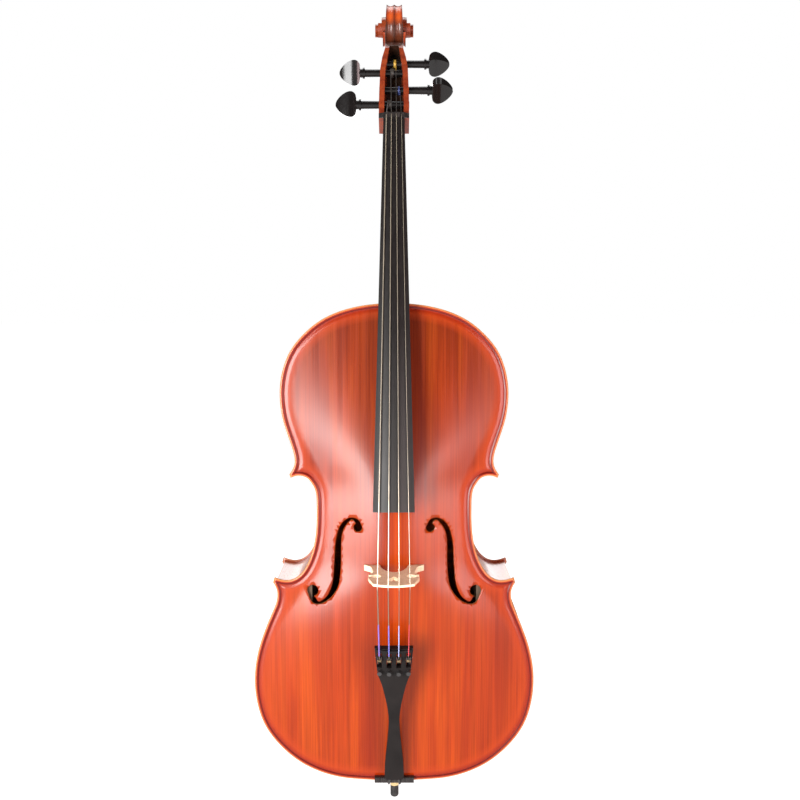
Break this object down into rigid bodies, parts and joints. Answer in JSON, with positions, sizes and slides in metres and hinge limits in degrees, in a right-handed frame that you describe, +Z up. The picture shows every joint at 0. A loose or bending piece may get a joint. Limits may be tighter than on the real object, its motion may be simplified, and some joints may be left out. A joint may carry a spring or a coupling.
{
  "type": "cello",
  "caption": "Full-size cello with hollow arched body, scroll, tuning pegs, bridge, tailpiece with fine tuners and a sliding endpin.",
  "frame": {"origin": "lowest point of the endpin's rubber tip, on the endpin axis, with the endpin drawn in", "axes": "+Z up along the instrument towards the scroll, the front and the strings face -Y, the bass side is -X"},
  "size_m": [0.4386, 0.2723, 1.2845],
  "materials": {
    "spruce_varnish": "satin orange-red varnish over straight-grained spruce",
    "maple_varnish": "satin red-brown varnish over flamed maple",
    "purfling": "thin dark inlaid line under the varnish",
    "bare_willow": "unvarnished",
    "bare_spruce": "unvarnished",
    "neck_maple": "satin red-brown varnish, shaft lightly polished",
    "ebony": "oiled black fingerboard, soft sheen",
    "ebony_polished": "polished black",
    "bridge_maple": "unvarnished maple, waxed",
    "tailpiece_black": "matte charcoal moulding",
    "peg_black": "polished black hardwood",
    "string_wound": "flat-wound steel string",
    "string_steel": "flat-wound steel string",
    "silk_c": "coloured thread wrapping",
    "silk_g": "coloured thread wrapping",
    "silk_d": "coloured thread wrapping",
    "silk_a": "coloured thread wrapping",
    "tailgut_nylon": "smooth dark cord",
    "ferrule_brass": "polished",
    "steel_bright": "polished steel",
    "tip_rubber": "matte black rubber",
    "tuner_black_metal": "black-coated metal"
  },
  "bodies": {
    "corpus": {"front_plate": "spruce_varnish", "back_plate": "maple_varnish", "front_purfling": "purfling", "back_purfling": "purfling", "upper_rib_bass": "maple_varnish", "upper_rib_treble": "maple_varnish", "c_rib_bass": "maple_varnish", "c_rib_treble": "maple_varnish", "lower_rib_bass": "maple_varnish", "lower_rib_treble": "maple_varnish", "front_linings": "bare_willow", "back_linings": "bare_willow", "corner_blocks": "bare_willow", "top_block": "bare_willow", "end_block": "bare_willow", "bass_bar": "bare_spruce", "sound_post": "bare_spruce", "neck": "neck_maple", "fingerboard": "ebony", "nut": "ebony_polished", "saddle": "ebony_polished", "bridge": "bridge_maple", "tailpiece": "tailpiece_black", "tailpiece_fret": "tailpiece_black", "tailgut": "tailgut_nylon", "endpin_plug": "ebony_polished", "endpin_ferrule": "ferrule_brass", "tuner_pivot_pins": "steel_bright", "string_c": "string_wound", "silk_c": "silk_c", "string_g": "string_wound", "silk_g": "silk_g", "string_d": "string_steel", "silk_d": "silk_d", "string_a": "string_steel", "silk_a": "silk_a"},
    "peg_c": {"peg_c": "peg_black"},
    "peg_g": {"peg_g": "peg_black"},
    "peg_d": {"peg_d": "peg_black"},
    "peg_a": {"peg_a": "peg_black"},
    "screw_c": {"tuner_screw_c": "steel_bright"},
    "knob_c": {"tuner_knob_c": "tuner_black_metal"},
    "lever_c": {"tuner_lever_c": "tuner_black_metal", "ball_end_c": "ferrule_brass"},
    "screw_g": {"tuner_screw_g": "steel_bright"},
    "knob_g": {"tuner_knob_g": "tuner_black_metal"},
    "lever_g": {"tuner_lever_g": "tuner_black_metal", "ball_end_g": "ferrule_brass"},
    "screw_d": {"tuner_screw_d": "steel_bright"},
    "knob_d": {"tuner_knob_d": "tuner_black_metal"},
    "lever_d": {"tuner_lever_d": "tuner_black_metal", "ball_end_d": "ferrule_brass"},
    "screw_a": {"tuner_screw_a": "steel_bright"},
    "knob_a": {"tuner_knob_a": "tuner_black_metal"},
    "lever_a": {"tuner_lever_a": "tuner_black_metal", "ball_end_a": "ferrule_brass"},
    "endpin": {"endpin_rod": "steel_bright", "endpin_tip": "tip_rubber"},
    "thumb_screw": {"endpin_thumb_screw": "steel_bright"}
  },
  "joints": [
    {"name": "peg_c_turn", "type": "hinge", "parent": "corpus", "child": "peg_c", "pos_m": [0, -0.01599, 1.11466], "axis": [1, 0, 0], "continuous": true},
    {"name": "peg_g_turn", "type": "hinge", "parent": "corpus", "child": "peg_g", "pos_m": [0, 0.0074, 1.16719], "axis": [1, 0, 0], "continuous": true},
    {"name": "peg_d_turn", "type": "hinge", "parent": "corpus", "child": "peg_d", "pos_m": [0, 0.01411, 1.18226], "axis": [1, 0, 0], "continuous": true},
    {"name": "peg_a_turn", "type": "hinge", "parent": "corpus", "child": "peg_a", "pos_m": [0, -0.00542, 1.13841], "axis": [1, 0, 0], "continuous": true},
    {"name": "tuner_screw_c_travel", "type": "slide", "parent": "corpus", "child": "screw_c", "axis": [0, 0.9704, 0.2416], "range_m": [-0.0025, 0.0025]},
    {"name": "tuner_knob_c_turn", "type": "hinge", "parent": "screw_c", "child": "knob_c", "pos_m": [-0.02175, -0.12932, 0.26313], "axis": [0, 0.9704, 0.2416], "range_deg": [-1286, 1286]},
    {"name": "tuner_lever_c_tilt", "type": "hinge", "parent": "corpus", "child": "lever_c", "pos_m": [-0.02175, -0.12717, 0.28427], "axis": [1, 0, 0], "range_deg": [-7.16, 7.16]},
    {"name": "tuner_screw_g_travel", "type": "slide", "parent": "corpus", "child": "screw_g", "axis": [0, 0.9704, 0.2416], "range_m": [-0.0025, 0.0025]},
    {"name": "tuner_knob_g_turn", "type": "hinge", "parent": "screw_g", "child": "knob_g", "pos_m": [-0.00725, -0.12932, 0.26313], "axis": [0, 0.9704, 0.2416], "range_deg": [-1286, 1286]},
    {"name": "tuner_lever_g_tilt", "type": "hinge", "parent": "corpus", "child": "lever_g", "pos_m": [-0.00725, -0.12833, 0.28398], "axis": [1, 0, 0], "range_deg": [-7.16, 7.16]},
    {"name": "tuner_screw_d_travel", "type": "slide", "parent": "corpus", "child": "screw_d", "axis": [0, 0.9704, 0.2416], "range_m": [-0.0025, 0.0025]},
    {"name": "tuner_knob_d_turn", "type": "hinge", "parent": "screw_d", "child": "knob_d", "pos_m": [0.00725, -0.12932, 0.26313], "axis": [0, 0.9704, 0.2416], "range_deg": [-1286, 1286]},
    {"name": "tuner_lever_d_tilt", "type": "hinge", "parent": "corpus", "child": "lever_d", "pos_m": [0.00725, -0.12833, 0.28398], "axis": [1, 0, 0], "range_deg": [-7.16, 7.16]},
    {"name": "tuner_screw_a_travel", "type": "slide", "parent": "corpus", "child": "screw_a", "axis": [0, 0.9704, 0.2416], "range_m": [-0.0025, 0.0025]},
    {"name": "tuner_knob_a_turn", "type": "hinge", "parent": "screw_a", "child": "knob_a", "pos_m": [0.02175, -0.12932, 0.26313], "axis": [0, 0.9704, 0.2416], "range_deg": [-1286, 1286]},
    {"name": "tuner_lever_a_tilt", "type": "hinge", "parent": "corpus", "child": "lever_a", "pos_m": [0.02175, -0.12717, 0.28427], "axis": [1, 0, 0], "range_deg": [-7.16, 7.16]},
    {"name": "endpin_slide", "type": "slide", "parent": "corpus", "child": "endpin", "axis": [0, 0, -1], "range_m": [0, 0.33]},
    {"name": "endpin_thumb_screw_turn", "type": "hinge", "parent": "corpus", "child": "thumb_screw", "pos_m": [0.0088, 0, 0.029], "axis": [1, 0, 0], "range_deg": [0, 360]}
  ],
  "couplings": [
    {"joint": "tuner_knob_c_turn", "follows": "tuner_screw_c_travel", "rad_per_m": 8976},
    {"joint": "tuner_lever_c_tilt", "follows": "tuner_screw_c_travel", "rad_per_m": 50},
    {"joint": "tuner_knob_g_turn", "follows": "tuner_screw_g_travel", "rad_per_m": 8976},
    {"joint": "tuner_lever_g_tilt", "follows": "tuner_screw_g_travel", "rad_per_m": 50},
    {"joint": "tuner_knob_d_turn", "follows": "tuner_screw_d_travel", "rad_per_m": 8976},
    {"joint": "tuner_lever_d_tilt", "follows": "tuner_screw_d_travel", "rad_per_m": 50},
    {"joint": "tuner_knob_a_turn", "follows": "tuner_screw_a_travel", "rad_per_m": 8976},
    {"joint": "tuner_lever_a_tilt", "follows": "tuner_screw_a_travel", "rad_per_m": 50}
  ]
}
